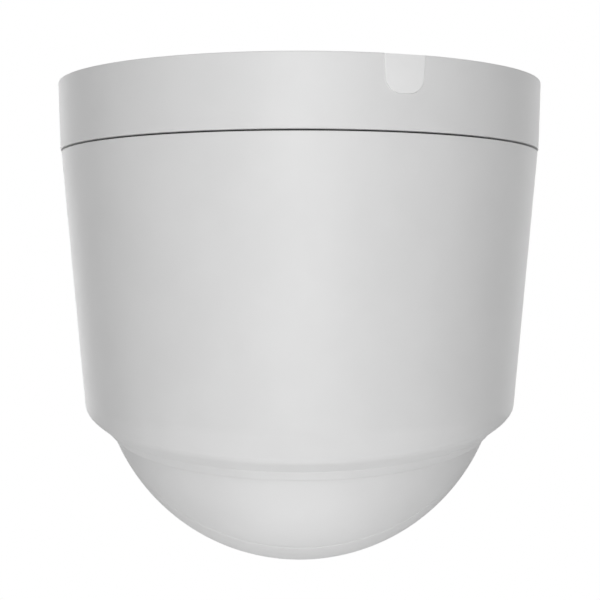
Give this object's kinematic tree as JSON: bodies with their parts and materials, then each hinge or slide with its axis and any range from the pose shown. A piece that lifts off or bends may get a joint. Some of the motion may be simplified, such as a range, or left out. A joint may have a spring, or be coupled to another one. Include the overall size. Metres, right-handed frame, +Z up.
{
  "type": "pan-tilt dome camera",
  "caption": "Ceiling pan-tilt dome camera: round base, turning tapered drum with a slanted rim, and a ball that tilts in it with a zoom lens behind a dark window.",
  "frame": {"origin": "centre of the ceiling face, on the pan axis, where the base meets the ceiling", "axes": "+Z up into the ceiling along the pan axis; -Y is the way the lens looks at rest; +X is the tilt axis, to the camera's left"},
  "size_m": [0.134, 0.134, 0.1319],
  "materials": {
    "white_plastic": "fine satin moulded grain",
    "black_plastic": "satin",
    "dark_glass": "polished, smoked",
    "lens_glass": "polished, coated",
    "cast_metal": "die-cast, bead blasted",
    "steel": "zinc plated",
    "brass": "turned",
    "board": "solder mask",
    "rubber": "matte",
    "nylon": "natural nylon",
    "ribbon": "flat ribbon"
  },
  "bodies": {
    "base": {"mounting_plate": "steel", "ceiling_gasket": "rubber", "base_ring": "white_plastic", "cable_entry_plug": "white_plastic", "base_chassis": "cast_metal", "base_screws": "steel", "main_board": "board", "cable_header": "nylon", "terminal_block": "board", "power_transformer": "black_plastic", "memory_card_slot": "steel", "memory_card": "black_plastic", "reset_switch": "black_plastic", "pan_motor": "steel", "bearing_outer_race": "steel", "bearing_retainer": "steel", "slip_ring_stator": "black_plastic"},
    "button": {"reset_button": "brass"},
    "pan_drive_pinion": {"pan_pinion": "brass"},
    "bearing_ball_set": {"bearing_balls": "steel"},
    "drum": {"bearing_inner_race": "steel", "pan_hub": "cast_metal", "hub_lock_ring": "steel", "pan_gear": "nylon", "slip_ring_rotor": "brass", "slip_ring_lead": "ribbon", "turntable": "cast_metal", "seal_ring": "rubber", "turntable_screws": "steel", "driver_board": "board", "pan_housing": "white_plastic", "ball_trim_ring": "white_plastic", "yoke_arm_left": "cast_metal", "yoke_arm_right": "cast_metal", "tilt_axle_left": "steel", "tilt_axle_right": "steel", "tilt_fixed_gear": "nylon"},
    "ball": {"tilt_bush_left": "brass", "tilt_bush_right": "brass", "tilt_motor": "steel", "ball_chassis": "cast_metal", "ball_rear_shell": "white_plastic", "ball_front_shell": "white_plastic", "ball_screws": "steel", "face_bezel": "black_plastic", "face_window": "dark_glass", "lamp_board": "board", "infrared_lamps": "dark_glass", "light_baffle": "rubber", "lens_barrel": "black_plastic", "front_lens": "lens_glass", "lens_retaining_ring": "black_plastic", "guide_rods": "steel", "ir_cut_frame": "black_plastic", "sensor_board": "board", "camera_board": "board"},
    "tilt_drive_pinion": {"tilt_pinion": "brass"},
    "zoom_group": {"zoom_carriage": "black_plastic"},
    "focus_group": {"focus_carriage": "black_plastic"},
    "filter_slider": {"ir_cut_slider": "black_plastic"}
  },
  "joints": [
    {"name": "pan", "type": "hinge", "parent": "base", "child": "drum", "pos_m": [0, 0, 0], "axis": [0, 0, 1], "continuous": true},
    {"name": "tilt", "type": "hinge", "parent": "drum", "child": "ball", "pos_m": [0, 0, -0.0762], "axis": [1, 0, 0], "range_deg": [-28.5, 61.5]},
    {"name": "pan_pinion_spin", "type": "hinge", "parent": "base", "child": "pan_drive_pinion", "pos_m": [-0.02674, -0.03187, 0], "axis": [0, 0, 1], "continuous": true},
    {"name": "bearing_ball_orbit", "type": "hinge", "parent": "base", "child": "bearing_ball_set", "pos_m": [0, 0, 0], "axis": [0, 0, 1], "continuous": true},
    {"name": "tilt_pinion_spin", "type": "hinge", "parent": "ball", "child": "tilt_drive_pinion", "pos_m": [0, 0.01424, -0.06847], "axis": [1, 0, 0], "range_deg": [-82, 176]},
    {"name": "zoom", "type": "slide", "parent": "ball", "child": "zoom_group", "axis": [0, -0.8788, -0.4772], "range_m": [-0.005, 0.005]},
    {"name": "focus", "type": "slide", "parent": "ball", "child": "focus_group", "axis": [0, -0.8788, -0.4772], "range_m": [-0.003, 0.003]},
    {"name": "ir_cut", "type": "slide", "parent": "ball", "child": "filter_slider", "axis": [-1, 0, 0], "range_m": [0, 0.011]},
    {"name": "reset_press", "type": "slide", "parent": "base", "child": "button", "axis": [0, 0, -1], "range_m": [0, 0.0003], "stiffness_N_per_m": 400, "springref_m": -0.002}
  ],
  "couplings": [
    {"joint": "pan_pinion_spin", "follows": "pan", "ratio": -6.4286},
    {"joint": "bearing_ball_orbit", "follows": "pan", "ratio": 0.45556},
    {"joint": "tilt_pinion_spin", "follows": "tilt", "ratio": 2.8571}
  ]
}
